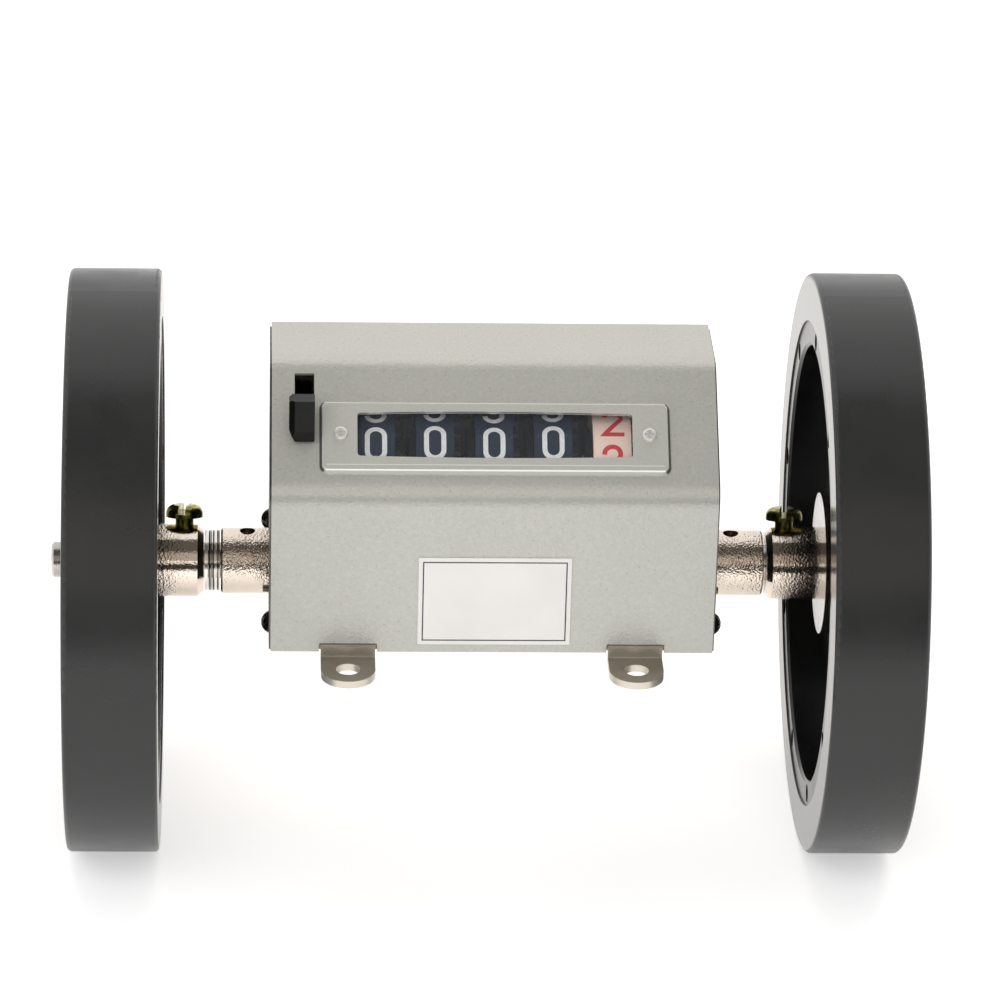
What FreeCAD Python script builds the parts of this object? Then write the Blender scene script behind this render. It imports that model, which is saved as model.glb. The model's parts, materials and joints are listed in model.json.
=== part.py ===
import FreeCAD, Part
import math
import os

os.makedirs("parts", exist_ok=True)

V = FreeCAD.Vector

# Cable length counter: two measuring wheels on one axle turn a row of number wheels in a painted casing.
# Millimetres. X runs along the axle, -Y faces the reader and +Z is up.
# The origin is the centre of the four foot holes, on the underside of the feet.

# Fits
SEAT_GAP = 0.02          # radial gap of a pressed or glued seat
RUNNING_GAP = 0.05       # radial gap of a turning fit
BEARING_GAP = 0.03       # radial gap between the axle and its bushes
SHEET_GAP = 0.1          # gap round a sheet piece inside another
SIDE_GAP = 0.3           # least side gap between turning pieces
PAST = 2.0               # how far a cutting shape reaches past what it cuts
SAME = 0.001             # two places closer than this are one place

# Casing
CASING_WIDTH = 79.7
CASING_DEPTH = 38.4
CASING_TOP = 51.2
CASING_BOTTOM = 2.5
SLOPE = 40.0             # slope of the window face above level, degrees
SHEET = 0.8
BEND_RADIUS = 6.0        # the two bends at the ends of the window face
BACK_BEND_RADIUS = 2.0
SIDE_PLATE = 1.5
SIDE_PLATE_PROUD = 0.3   # how far a side plate stands out of the casing's end

# Feet and base plate
FOOT_SPACING_X = 51.8
FOOT_REACH = 4.8         # from the casing's front or back to the foot holes
FOOT_WIDTH = 9.8
FOOT_HOLE_D = 4.4
BASE_SHEET = 1.4
BASE_RECESS = 0.05       # from the casing's lower edge up to the base plate's underside
BASE_BEND_RADIUS = 0.6
FOOT_BEND_RADIUS = 1.1
FOOT_CORNER_RADIUS = 0.4
NOTCH_SIDE_GAP = 0.33
NOTCH_TOP_GAP = 0.2
EAR_WIDTH = 6.5
EAR_ABOVE_SCREW = 3.2

# Axle and bearings
AXLE_HEIGHT = 11.4
AXLE_D = 6.5
AXLE_END_PROUD = 3.2
AXLE_CHAMFER = 0.4
BOSS_D = 12.0
BOSS_LEFT_LENGTH = 8.7
BOSS_RIGHT_LENGTH = 9.7
BOSS_CHAMFER = 0.35
SPIGOT_D = 10.0
SPIGOT_INSIDE = 0.8
BUSH_WALL = 1.2
OIL_HOLE_D = 2.8
OIL_HOLE_FROM_PLATE = 3.9
WASHER_D = 11.0
WASHER = 0.6
WASHER_COUNT = 4
WASHER_GAP = 0.12
WASHER_FROM_BOSS = 0.2

# Measuring wheels
WHEEL_D = 106.1
WHEEL_WIDTH = 16.7
LEFT_HUB_GAP = 3.13      # between the left boss and the left hub
RIGHT_HUB_GAP = 0.53     # between the right boss and the right hub
TYRE_THICKNESS = 8.65
TYRE_EDGE_RADIUS = 1.0
RIM_INSET = 0.3
RIM_RING = 4.5
RIM_EDGE = 0.5
WEB = 2.7
WEB_DEPTH = 7.0          # from the wheel's inner face to the web
DIMPLE_D = 3.3
DIMPLE_DEPTH = 1.2
DIMPLE_COUNT = 9
DIMPLE_START = 33.0      # degrees from the top, towards the reader
COLLAR_D = 13.3
COLLAR_LENGTH = 10.1
COLLAR_CHAMFER_X = 1.1
COLLAR_CHAMFER_R = 0.95
FLANGE_D = 25.8
FLANGE = 2.0
FLANGE_DEPTH = 2.4       # from the wheel's inner face to the flange's face
SLEEVE_D = 11.0
SLEEVE_LENGTH = 9.2
SET_SCREW_FROM_WHEEL = 4.2
SET_SCREW_TILT = 16.0    # degrees from upright, away from the reader
SET_SCREW_SHANK_D = 3.3
SET_SCREW_SHOWING = 1.4
SET_SCREW_HEAD_D = 6.7
SET_SCREW_HEAD = 2.2
SET_SCREW_DOME = 1.6
SET_SCREW_SLOT_DEPTH = 1.4
SET_SCREW_SLOT_TURN = 80.0    # degrees from the axle
SET_SCREW_SLOT = 1.3

# Number wheels and their train
NUMBER_SHAFT_D = 4.0
NUMBER_SHAFT_Y = -0.7
NUMBER_PITCH = 10.6
DRUM_D = 25.4
DRUM_WIDTH = 6.8
DRUM_RIM = 1.6
DRUM_WEB = 2.0
DRUM_HUB_D = 7.2
SIDE_DISC = 1.1          # thickness of each gear or cam on a drum's side
RESET_CAM = 1.0
RESET_CAM_D = 7.6
RESET_CAM_FLAT = 2.9     # from the shaft's centre to the cam's flat
SPACER_WALL = 1.0
HUB_END_GAP = 0.3        # between one wheel's hub and the next
MODULE_DRIVE = 0.6
DRIVE_TEETH = 15
INPUT_TEETH = 45
DRIVE_GEAR_WIDTH = 1.55
DRIVE_GEAR_SETBACK = 0.05
DRIVE_HUB_D = 10.2
DRIVE_HUB_LENGTH = 5.0
DRIVE_PIN_D = 1.5
MODULE_TRANSFER = 1.1
TRANSFER_TEETH = 20
PINION_TEETH = 8
PINION_SHAFT_D = 2.0
PINION_DIRECTION = 228.0  # direction from the number shaft to the pinion shaft, degrees from +Y towards +Z
PINION_SIDE_GAP = 0.25
CAM_TIP_GAP = 0.35       # between a transfer cam's teeth and the pinions
CAM_TOOTH_DEPTH = 1.4
CAM_TOOTH = 1.2
CAM_TOOTH_ANGLE = 16.0   # each tooth's direction from the middle between them, degrees
ADDENDUM = 0.8           # in modules
DEDENDUM = 1.15          # in modules
TOOTH_SHARE = 0.43       # tooth thickness on the pitch circle, as a share of the tooth pitch
TOOTH_TIP_SHARE = 0.22
TOOTH_ROOT_SHARE = 0.56

# Reset gear
RESET_SHAFT_D = 4.0
RESET_FROM_BACK = 4.7    # from the casing's back to the reset shaft
RESET_FROM_TOP = 14.2    # from the casing's top to the reset shaft
LEVER_FROM_PLATE = 4.63  # from the left side plate to the lever's middle
LEVER_WIDTH = 2.9
LEVER_HUB_D = 7.0
LEVER_ARM = 2.6
LEVER_FACE_V = 15.9      # where the arm crosses the window face, up the slope from the front bend
LEVER_OUT = 5.4          # arm length from the window face to the knob's middle
LEVER_TRAVEL = 14.0      # degrees
SLOT_SIDE_GAP = 0.3
SLOT_END_GAP = 0.3
KNOB_WIDTH = 4.55
KNOB_SHIFT = 0.5         # the knob's middle is this far to the left of the arm's
KNOB_THICKNESS = 3.4
KNOB_HEIGHT = 8.3
KNOB_DROP = 0.85         # the knob's middle is this far below the arm's end
KNOB_SIDE_BEVEL = 1.0
KNOB_SHOULDER = 0.55
KNOB_CHIN = 2.4          # height of the slanted lower part of the knob's front
KNOB_CHIN_DEPTH = 1.1
KNOB_BACK_GAP = 0.5      # between the knob's back and the window face
FINGER = 0.8
FINGER_WIDTH = 2.2
FINGER_HUB_D = 6.8
FINGER_HUB_LENGTH = 2.2
FINGER_TIP_OUT = 8.0     # finger tip behind the number shaft
FINGER_TIP_DROP = 2.0    # finger tip below the number shaft
FINGER_KNEE_RISE = 2.2   # finger's knee above its tip
SPRING_WIRE = 0.6
SPRING_R = 3.1           # to the wire's centre
SPRING_PITCH = 0.95
SPRING_TURNS = 4

# Tie rods
TIE_D = 5.0
TIE_FROM_BACK = 7.2
TIE_HEIGHT = 14.0
UPPER_TIE_D = 4.0
UPPER_TIE_FROM_BACK = 4.6
UPPER_TIE_FROM_TOP = 5.9
RIVET_TENON_D = 2.4

# Side screws and rivets
SIDE_SCREW_HEIGHT = 6.4
SIDE_SCREW_HEAD_D = 4.1
SIDE_SCREW_HEAD = 1.4
SIDE_SCREW_SHANK_D = 2.0
SIDE_SCREW_LENGTH = 4.5  # under the head
SIDE_SCREW_SLOT = 0.5
SIDE_SCREW_SLOT_DEPTH = 0.6
RIVET_D = 1.3
RIVET_PROUD = 1.1
RIVET_Y = -10.0
RIVET_HEIGHT = 10.6

# Window, bezel and label
WINDOW_HEIGHT = 8.5
WINDOW_BOW = 0.35        # how far each long edge bows outwards in its middle
WINDOW_CORNER = 0.6
BEZEL_FROM_KNOB = 0.9    # between the lever's knob and the bezel
BEZEL_SIDE_BORDER = 6.75
BEZEL_TOP_BORDER = 2.5
BEZEL_BOTTOM_BORDER = 3.3
BEZEL_CORNER = 1.5
BEZEL = 0.9
BEZEL_CHAMFER = 0.65
LENS_MARGIN = 1.2
LENS = 1.0
GEAR_TO_LENS = 0.48      # between the input gear's teeth and the lens
BEZEL_SCREW_FROM_WINDOW = 3.0
BEZEL_SCREW_HEAD_D = 2.5
BEZEL_SCREW_HEAD = 0.75
BEZEL_SCREW_SHANK_D = 1.4
BEZEL_SCREW_LENGTH = 2.6
BEZEL_SCREW_ROUND = 0.45
BEZEL_CROSS_LENGTH = 1.55
BEZEL_CROSS_WIDTH = 0.4
BEZEL_CROSS_DEPTH = 0.4
LABEL_WIDTH = 27.4
LABEL_HEIGHT = 17.2
LABEL = 0.3
LABEL_X = 0.25
LABEL_CENTRE_HEIGHT = 12.8

# Places worked out from the sizes above
HALF_WIDTH = CASING_WIDTH / 2
HALF_DEPTH = CASING_DEPTH / 2
PLATE_OUT = HALF_WIDTH + SIDE_PLATE_PROUD
PLATE_IN = PLATE_OUT - SIDE_PLATE
BASE_UNDERSIDE = CASING_BOTTOM + BASE_RECESS
BASE_TOP = BASE_UNDERSIDE + BASE_SHEET
BASE_HALF_Y = HALF_DEPTH - SHEET - SHEET_GAP
FOOT_HOLE_Y = HALF_DEPTH + FOOT_REACH
SIDE_SCREW_Y = BASE_HALF_Y - EAR_WIDTH / 2
AXLE_R = AXLE_D / 2
NUMBER_SHAFT_R = NUMBER_SHAFT_D / 2
DRIVE_CENTRES = MODULE_DRIVE * (DRIVE_TEETH + INPUT_TEETH) / 2
NUMBER_SHAFT_HEIGHT = AXLE_HEIGHT + math.sqrt(DRIVE_CENTRES ** 2 - NUMBER_SHAFT_Y ** 2)
PINION_CENTRES = MODULE_TRANSFER * (TRANSFER_TEETH + PINION_TEETH) / 2
PINION_Y = NUMBER_SHAFT_Y + PINION_CENTRES * math.cos(math.radians(PINION_DIRECTION))
PINION_HEIGHT = NUMBER_SHAFT_HEIGHT + PINION_CENTRES * math.sin(math.radians(PINION_DIRECTION))
PINION_TIP_R = MODULE_TRANSFER * (PINION_TEETH / 2 + ADDENDUM)
HALF_DRUM = DRUM_WIDTH / 2
HUB_RIGHT = HALF_DRUM + SIDE_DISC + RESET_CAM
HUB_LEFT = HUB_RIGHT + HUB_END_GAP - NUMBER_PITCH
DIGIT_NAMES = ["thousands", "hundreds", "tens", "units", "tenths"]
TENTHS_X = 2 * NUMBER_PITCH
SIDES = {"left": -1, "right": 1}
RESET_SHAFT_Y = HALF_DEPTH - RESET_FROM_BACK
RESET_SHAFT_HEIGHT = CASING_TOP - RESET_FROM_TOP
LEVER_X = LEVER_FROM_PLATE - PLATE_IN
KNOB_LEFT = LEVER_X - KNOB_SHIFT - KNOB_WIDTH / 2
BEZEL_HALF_WIDTH = -KNOB_LEFT - KNOB_WIDTH - BEZEL_FROM_KNOB
WINDOW_WIDTH = 2 * (BEZEL_HALF_WIDTH - BEZEL_SIDE_BORDER)
SLOPE_SIN = math.sin(math.radians(SLOPE))
SLOPE_COS = math.cos(math.radians(SLOPE))
FACE_TO_SHAFT = MODULE_DRIVE * (INPUT_TEETH / 2 + ADDENDUM) + GEAR_TO_LENS + LENS
FRONT_HEIGHT = NUMBER_SHAFT_HEIGHT + (FACE_TO_SHAFT - (NUMBER_SHAFT_Y + HALF_DEPTH) * SLOPE_SIN) / SLOPE_COS
TIE_Y = HALF_DEPTH - TIE_FROM_BACK
UPPER_TIE_Y = HALF_DEPTH - UPPER_TIE_FROM_BACK
UPPER_TIE_HEIGHT = CASING_TOP - UPPER_TIE_FROM_TOP
WINDOW_V = (NUMBER_SHAFT_Y + HALF_DEPTH) * SLOPE_COS + (NUMBER_SHAFT_HEIGHT - FRONT_HEIGHT) * SLOPE_SIN
LENS_WIDTH = WINDOW_WIDTH + 2 * LENS_MARGIN
LENS_HEIGHT = WINDOW_HEIGHT + 2 * LENS_MARGIN


def cyl_x(r, x0, x1, y=0.0, z=0.0):
    """A cylinder along X from x0 to x1."""
    return Part.makeCylinder(r, x1 - x0, V(x0, y, z), V(1, 0, 0))


def ring_x(r_out, r_in, x0, x1, y=0.0, z=0.0):
    """A tube along X from x0 to x1."""
    return cyl_x(r_out, x0, x1, y, z).cut(cyl_x(r_in, x0 - PAST, x1 + PAST, y, z))


def box(x0, x1, y0, y1, z0, z1):
    """A box between two corners."""
    return Part.makeBox(x1 - x0, y1 - y0, z1 - z0, V(x0, y0, z0))


def prism_x(points, x0, x1):
    """An outline of (y, z) points, extruded along X from x0 to x1."""
    wire = Part.makePolygon([V(x0, y, z) for y, z in points + points[:1]])
    return Part.Face(wire).extrude(V(x1 - x0, 0, 0))


def revolve_x(points, y=0.0, z=0.0):
    """A solid turned about an X axis through (y, z) from an outline of (x, radius) points."""
    wire = Part.makePolygon([V(x, y, z + r) for x, r in points + points[:1]])
    return Part.Face(wire).revolve(V(0, y, z), V(1, 0, 0), 360)


def fuse_all(shapes):
    """One solid from several that touch or overlap."""
    whole = shapes[0].multiFuse(shapes[1:])
    return whole.removeSplitter()


def cut_all(shape, tools):
    """The shape with every tool cut away."""
    return shape.cut(Part.makeCompound(tools)) if tools else shape


def x_edges_at(shape, places):
    """The edges parallel to X that pass through the given (y, z) places."""
    found = []
    for edge in shape.Edges:
        a, b = edge.Vertexes[0].Point, edge.Vertexes[-1].Point
        if math.hypot(a.y - b.y, a.z - b.z) > SAME:
            continue
        if any(math.hypot(a.y - y, a.z - z) < SAME for y, z in places):
            found.append(edge)
    return found


def on_window_face(shape):
    """Carries a shape from window-face axes (across, up the slope, outwards) to its place."""
    shape.Placement = FreeCAD.Placement(
        V(0, -HALF_DEPTH, FRONT_HEIGHT), FreeCAD.Rotation(V(1, 0, 0), SLOPE)
    ).multiply(shape.Placement)
    return shape


def window_face_point(v, w):
    """The (y, z) of a point v up the window face from the front bend and w outside it."""
    return -HALF_DEPTH + v * SLOPE_COS - w * SLOPE_SIN, FRONT_HEIGHT + v * SLOPE_SIN + w * SLOPE_COS


def on_window_axes(y, z):
    """A (y, z) place as its distance up the window face from the front bend and outside it."""
    dy, dz = y + HALF_DEPTH, z - FRONT_HEIGHT
    return dy * SLOPE_COS + dz * SLOPE_SIN, dz * SLOPE_COS - dy * SLOPE_SIN


def casing_profile(inset, bottom):
    """The casing's side outline, moved inwards by inset, as (y, z) points from the front foot."""
    c, s = SLOPE_COS, SLOPE_SIN
    front = -HALF_DEPTH + inset
    back = HALF_DEPTH - inset
    top = CASING_TOP - inset
    front_z = FRONT_HEIGHT - inset * c + inset * (1 - s) * s / c
    top_y = -HALF_DEPTH + inset * s + (top - FRONT_HEIGHT + inset * c) * c / s
    return [(front, bottom), (front, front_z), (top_y, top), (back, top), (back, bottom)]


def casing_block(inset, bottom, x0, x1):
    """The solid inside the casing outline, with its three bends rounded."""
    points = casing_profile(inset, bottom)
    block = prism_x(points, x0, x1)
    block = block.makeFillet(BEND_RADIUS - inset, x_edges_at(block, points[1:3]))
    return block.makeFillet(BACK_BEND_RADIUS - inset, x_edges_at(block, points[3:4]))


def rounded_plate(width, height, thickness, corner, v_centre, w0):
    """A plate in window-face axes, standing from w0 outwards, with rounded corners."""
    plate = box(-width / 2, width / 2, v_centre - height / 2, v_centre + height / 2, w0, w0 + thickness)
    upright = [e for e in plate.Edges if abs(e.Vertexes[0].Z - e.Vertexes[-1].Z) > thickness / 2]
    return plate.makeFillet(corner, upright)


def window_opening(w0, w1):
    """The window's shape in window-face axes: long edges bowed a little, corners rounded."""
    half_w, half_h = WINDOW_WIDTH / 2, WINDOW_HEIGHT / 2
    low, high = WINDOW_V - half_h, WINDOW_V + half_h
    corners = [V(-half_w, low, w0), V(half_w, low, w0), V(half_w, high, w0), V(-half_w, high, w0)]
    edges = [
        Part.Arc(corners[0], V(0, low - WINDOW_BOW, w0), corners[1]).toShape(),
        Part.LineSegment(corners[1], corners[2]).toShape(),
        Part.Arc(corners[2], V(0, high + WINDOW_BOW, w0), corners[3]).toShape(),
        Part.LineSegment(corners[3], corners[0]).toShape(),
    ]
    hole = Part.Face(Part.Wire(edges)).extrude(V(0, 0, w1 - w0))
    upright = [
        e for e in hole.Edges
        if abs(e.Vertexes[0].Z - e.Vertexes[-1].Z) > (w1 - w0) / 2
    ]
    return hole.makeFillet(WINDOW_CORNER, upright)


def foot_places():
    """The (x, side) of each foot, where side is -1 in front and 1 behind."""
    return [(sx * FOOT_SPACING_X / 2, sy) for sx in (-1, 1) for sy in (-1, 1)]


def bezel_screw_places():
    """The x of each bezel screw."""
    x = WINDOW_WIDTH / 2 + BEZEL_SCREW_FROM_WINDOW
    return [-x, x]


def bezel_screw_hole(x):
    """A cutting shape for a bezel screw's hole."""
    hole = Part.makeCylinder(BEZEL_SCREW_SHANK_D / 2 + SEAT_GAP, 2 * PAST, V(x, WINDOW_V, -PAST))
    return on_window_face(hole)


def domed_screw(head_r, head, shank_r, length):
    """A screw along Z with a round head that stands on the plane z = 0 and a shank below it."""
    ball_r = (head_r ** 2 + head ** 2) / (2 * head)
    ball = Part.makeSphere(ball_r, V(0, 0, head - ball_r))
    dome = ball.common(box(-ball_r, ball_r, -ball_r, ball_r, 0, head + PAST))
    return fuse_all([dome, Part.makeCylinder(shank_r, length, V(0, 0, -length))])


def slot_end(turn, edge, w):
    """Where an edge of the lever's arm is at depth w, up the window face, once lifted by turn degrees."""
    shaft_v, shaft_w = on_window_axes(RESET_SHAFT_Y, RESET_SHAFT_HEIGHT)
    lean = math.atan2(shaft_v - LEVER_FACE_V, -shaft_w) - math.radians(turn)
    return shaft_v - (w - shaft_w) * math.tan(lean) + edge * LEVER_ARM / 2 / math.cos(lean)


def lever_slot():
    """A cutting shape for the slot in the window face that the lever's arm travels in."""
    half = LEVER_WIDTH / 2 + SLOT_SIDE_GAP
    low = slot_end(0, -1, 0) - SLOT_END_GAP
    high = slot_end(LEVER_TRAVEL, 1, -SHEET) + SLOT_END_GAP
    return on_window_face(box(LEVER_X - half, LEVER_X + half, low, high, -PAST, PAST))


def side_screw_places():
    """The (y, z) of each screw through a side plate."""
    return [(-SIDE_SCREW_Y, SIDE_SCREW_HEIGHT), (SIDE_SCREW_Y, SIDE_SCREW_HEIGHT), (TIE_Y, TIE_HEIGHT)]


def casing_cover():
    """The bent sheet that makes the front, window face, top and back."""
    shell = casing_block(0, CASING_BOTTOM, -HALF_WIDTH, HALF_WIDTH)
    shell = shell.cut(casing_block(SHEET, CASING_BOTTOM - PAST, -HALF_WIDTH - PAST, HALF_WIDTH + PAST))
    lens_hole = rounded_plate(
        LENS_WIDTH + 2 * SHEET_GAP, LENS_HEIGHT + 2 * SHEET_GAP, 2 * PAST, WINDOW_CORNER + SHEET_GAP,
        WINDOW_V, -PAST)
    tools = [on_window_face(lens_hole), lever_slot()]
    tools += [bezel_screw_hole(x) for x in bezel_screw_places()]
    notch = FOOT_WIDTH / 2 + NOTCH_SIDE_GAP
    for x, side in foot_places():
        wall = side * HALF_DEPTH
        top = BASE_TOP + NOTCH_TOP_GAP
        tools.append(box(x - notch, x + notch, wall - PAST, wall + PAST, CASING_BOTTOM - PAST, top))
    return cut_all(shell, tools)


def side_plate(side):
    """A plate that closes one end of the casing and carries the shafts."""
    x0, x1 = sorted((side * PLATE_IN, side * PLATE_OUT))
    plate = casing_block(SHEET + SHEET_GAP, CASING_BOTTOM, x0, x1)
    holes = [
        (SPIGOT_D / 2 + SEAT_GAP, 0, AXLE_HEIGHT),
        (NUMBER_SHAFT_R + SEAT_GAP, NUMBER_SHAFT_Y, NUMBER_SHAFT_HEIGHT),
        (PINION_SHAFT_D / 2 + SEAT_GAP, PINION_Y, PINION_HEIGHT),
        (RESET_SHAFT_D / 2 + RUNNING_GAP, RESET_SHAFT_Y, RESET_SHAFT_HEIGHT),
        (RIVET_TENON_D / 2 + SEAT_GAP, UPPER_TIE_Y, UPPER_TIE_HEIGHT),
        (RIVET_D / 2 + SEAT_GAP, RIVET_Y, RIVET_HEIGHT),
    ]
    holes += [(SIDE_SCREW_SHANK_D / 2 + SEAT_GAP, y, z) for y, z in side_screw_places()]
    return cut_all(plate, [cyl_x(r, x0 - PAST, x1 + PAST, y, z) for r, y, z in holes])


def foot_lug(x, side):
    """A lug that steps down from the base plate, passes the casing's notch and ends in a foot."""
    face = HALF_DEPTH
    inner = face - BASE_SHEET
    root = inner - BASE_SHEET
    outline = [
        (root, BASE_UNDERSIDE), (root, BASE_TOP), (face, BASE_TOP), (face, BASE_SHEET),
        (FOOT_HOLE_Y, BASE_SHEET), (FOOT_HOLE_Y, 0), (inner, 0), (inner, BASE_UNDERSIDE),
    ]
    outline = [(side * y, z) for y, z in outline]
    lug = prism_x(outline, x - FOOT_WIDTH / 2, x + FOOT_WIDTH / 2)
    lug = lug.makeFillet(BASE_BEND_RADIUS, x_edges_at(lug, [(side * face, BASE_TOP)]))
    lug = lug.makeFillet(FOOT_BEND_RADIUS, x_edges_at(lug, [(side * inner, 0)]))
    lug = lug.makeFillet(FOOT_CORNER_RADIUS, x_edges_at(lug, [(side * face, BASE_SHEET)]))
    tip = Part.makeCylinder(FOOT_WIDTH / 2, BASE_SHEET, V(x, side * FOOT_HOLE_Y, 0))
    hole = Part.makeCylinder(FOOT_HOLE_D / 2, BASE_SHEET + 2 * PAST, V(x, side * FOOT_HOLE_Y, -PAST))
    return fuse_all([lug, tip]).cut(hole)


def base_plate():
    """The floor between the side plates, with four screw ears and four feet."""
    reach = PLATE_IN - SHEET_GAP
    pieces = [box(-reach, reach, -BASE_HALF_Y, BASE_HALF_Y, BASE_UNDERSIDE, BASE_TOP)]
    for sx in (-1, 1):
        x0, x1 = sorted((sx * reach, sx * (reach - BASE_SHEET)))
        for sy in (-1, 1):
            y0, y1 = sorted((sy * BASE_HALF_Y, sy * (BASE_HALF_Y - EAR_WIDTH)))
            ear = box(x0, x1, y0, y1, BASE_UNDERSIDE, SIDE_SCREW_HEIGHT + EAR_ABOVE_SCREW)
            r = SIDE_SCREW_SHANK_D / 2 + SEAT_GAP
            hole = cyl_x(r, x0 - PAST, x1 + PAST, sy * SIDE_SCREW_Y, SIDE_SCREW_HEIGHT)
            pieces.append(ear.cut(hole))
    pieces += [foot_lug(x, side) for x, side in foot_places()]
    return fuse_all(pieces)


def window_bezel():
    """The raised plate round the window, screwed to the window face."""
    low = WINDOW_V - WINDOW_HEIGHT / 2 - BEZEL_BOTTOM_BORDER
    high = WINDOW_V + WINDOW_HEIGHT / 2 + BEZEL_TOP_BORDER
    plate = rounded_plate(2 * BEZEL_HALF_WIDTH, high - low, BEZEL, BEZEL_CORNER, (low + high) / 2, 0)
    outer = [e for e in plate.Edges if min(v.Z for v in e.Vertexes) > BEZEL - SAME]
    plate = plate.makeChamfer(BEZEL_CHAMFER, outer)
    plate = on_window_face(plate.cut(window_opening(-PAST, BEZEL + PAST)))
    return cut_all(plate, [bezel_screw_hole(x) for x in bezel_screw_places()])


def window_lens():
    """The clear pane that lies in the casing's window hole, under the bezel."""
    return on_window_face(rounded_plate(LENS_WIDTH, LENS_HEIGHT, LENS, WINDOW_CORNER, WINDOW_V, -LENS))


def bezel_screws():
    """Two pan-head cross-recess screws."""
    solids = []
    top = BEZEL + BEZEL_SCREW_HEAD
    deep = top - BEZEL_CROSS_DEPTH
    bar, thin = BEZEL_CROSS_LENGTH / 2, BEZEL_CROSS_WIDTH / 2
    v = WINDOW_V
    for x in bezel_screw_places():
        head = Part.makeCylinder(BEZEL_SCREW_HEAD_D / 2, BEZEL_SCREW_HEAD, V(x, v, BEZEL))
        head = head.makeFillet(BEZEL_SCREW_ROUND, [e for e in head.Edges if e.BoundBox.ZMin > top - SAME])
        cross = [
            box(x - bar, x + bar, v - thin, v + thin, deep, top + PAST),
            box(x - thin, x + thin, v - bar, v + bar, deep, top + PAST),
        ]
        shank = Part.makeCylinder(
            BEZEL_SCREW_SHANK_D / 2, BEZEL_SCREW_LENGTH, V(x, v, BEZEL - BEZEL_SCREW_LENGTH))
        solids.append(fuse_all([cut_all(head, cross), shank]))
    return on_window_face(Part.makeCompound(solids))


def side_plate_screws():
    """The round-head screws that hold the side plates to the base plate's ears and the tie rod."""
    solids = []
    for side in SIDES.values():
        for y, z in side_screw_places():
            screw = domed_screw(
                SIDE_SCREW_HEAD_D / 2, SIDE_SCREW_HEAD, SIDE_SCREW_SHANK_D / 2, SIDE_SCREW_LENGTH)
            half, reach = SIDE_SCREW_SLOT / 2, SIDE_SCREW_HEAD_D
            floor = SIDE_SCREW_HEAD - SIDE_SCREW_SLOT_DEPTH
            screw = screw.cut(box(-half, half, -reach, reach, floor, SIDE_SCREW_HEAD + PAST))
            screw.rotate(V(0, 0, 0), V(0, 1, 0), side * 90)
            screw.translate(V(side * PLATE_OUT, y, z))
            solids.append(screw)
    return Part.makeCompound(solids)


def plate_rivets():
    """A small rivet through each side plate, in front of the bearing."""
    solids = []
    for side in SIDES.values():
        x0, x1 = sorted((side * PLATE_IN, side * (PLATE_OUT + RIVET_PROUD)))
        solids.append(cyl_x(RIVET_D / 2, x0, x1, RIVET_Y, RIVET_HEIGHT))
    return Part.makeCompound(solids)


def label_plate():
    """The thin plate on the front of the casing."""
    x0, z0 = LABEL_X - LABEL_WIDTH / 2, LABEL_CENTRE_HEIGHT - LABEL_HEIGHT / 2
    return box(x0, x0 + LABEL_WIDTH, -HALF_DEPTH - LABEL, -HALF_DEPTH, z0, z0 + LABEL_HEIGHT)


def frame_tie_rods():
    """Two rods that hold the side plates apart: one screwed, one with riveted tenons."""
    screwed = cyl_x(TIE_D / 2, -PLATE_IN, PLATE_IN, TIE_Y, TIE_HEIGHT)
    for side in SIDES.values():
        depth = SIDE_SCREW_LENGTH - SIDE_PLATE + SIDE_GAP
        x0, x1 = sorted((side * (PLATE_IN - depth), side * (PLATE_IN + PAST)))
        screwed = screwed.cut(cyl_x(SIDE_SCREW_SHANK_D / 2 + SEAT_GAP, x0, x1, TIE_Y, TIE_HEIGHT))
    body = cyl_x(UPPER_TIE_D / 2, -PLATE_IN, PLATE_IN, UPPER_TIE_Y, UPPER_TIE_HEIGHT)
    tenon = cyl_x(RIVET_TENON_D / 2, -PLATE_OUT, PLATE_OUT, UPPER_TIE_Y, UPPER_TIE_HEIGHT)
    return Part.makeCompound([screwed, fuse_all([body, tenon])])


def boss_end(side):
    """The x of a bearing boss's outer end."""
    return side * (PLATE_OUT + (BOSS_LEFT_LENGTH if side < 0 else BOSS_RIGHT_LENGTH))


def oil_hole(side, r):
    """The upright oil hole through a boss and its bush."""
    x = side * (PLATE_OUT + OIL_HOLE_FROM_PLATE)
    return Part.makeCylinder(r, BOSS_D, V(x, 0, AXLE_HEIGHT), V(0, 0, 1))


def bearing_boss(side):
    """A turned boss, pressed into the side plate, that holds the axle's bush."""
    end = abs(boss_end(side))
    bore = AXLE_R + BEARING_GAP + BUSH_WALL + SEAT_GAP
    inside = PLATE_IN - SPIGOT_INSIDE
    outline = [
        (inside, bore), (inside, SPIGOT_D / 2), (PLATE_OUT, SPIGOT_D / 2), (PLATE_OUT, BOSS_D / 2),
        (end - BOSS_CHAMFER, BOSS_D / 2), (end, BOSS_D / 2 - BOSS_CHAMFER), (end, bore),
    ]
    boss = revolve_x([(side * x, r) for x, r in outline], 0, AXLE_HEIGHT)
    return boss.cut(oil_hole(side, OIL_HOLE_D / 2))


def bearing_bush(side):
    """The bronze bush inside a boss."""
    r_in = AXLE_R + BEARING_GAP
    x0, x1 = sorted((side * (PLATE_IN - SPIGOT_INSIDE), boss_end(side)))
    bush = ring_x(r_in + BUSH_WALL, r_in, x0, x1, 0, AXLE_HEIGHT)
    return bush.cut(oil_hole(side, OIL_HOLE_D / 2 - SEAT_GAP))


def thrust_washers():
    """The loose washers between the left boss and the left hub."""
    solids = []
    for i in range(WASHER_COUNT):
        x1 = boss_end(SIDES["left"]) - WASHER_FROM_BOSS - i * (WASHER + WASHER_GAP)
        solids.append(ring_x(WASHER_D / 2, AXLE_R + SEAT_GAP, x1 - WASHER, x1, 0, AXLE_HEIGHT))
    return Part.makeCompound(solids)


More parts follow.
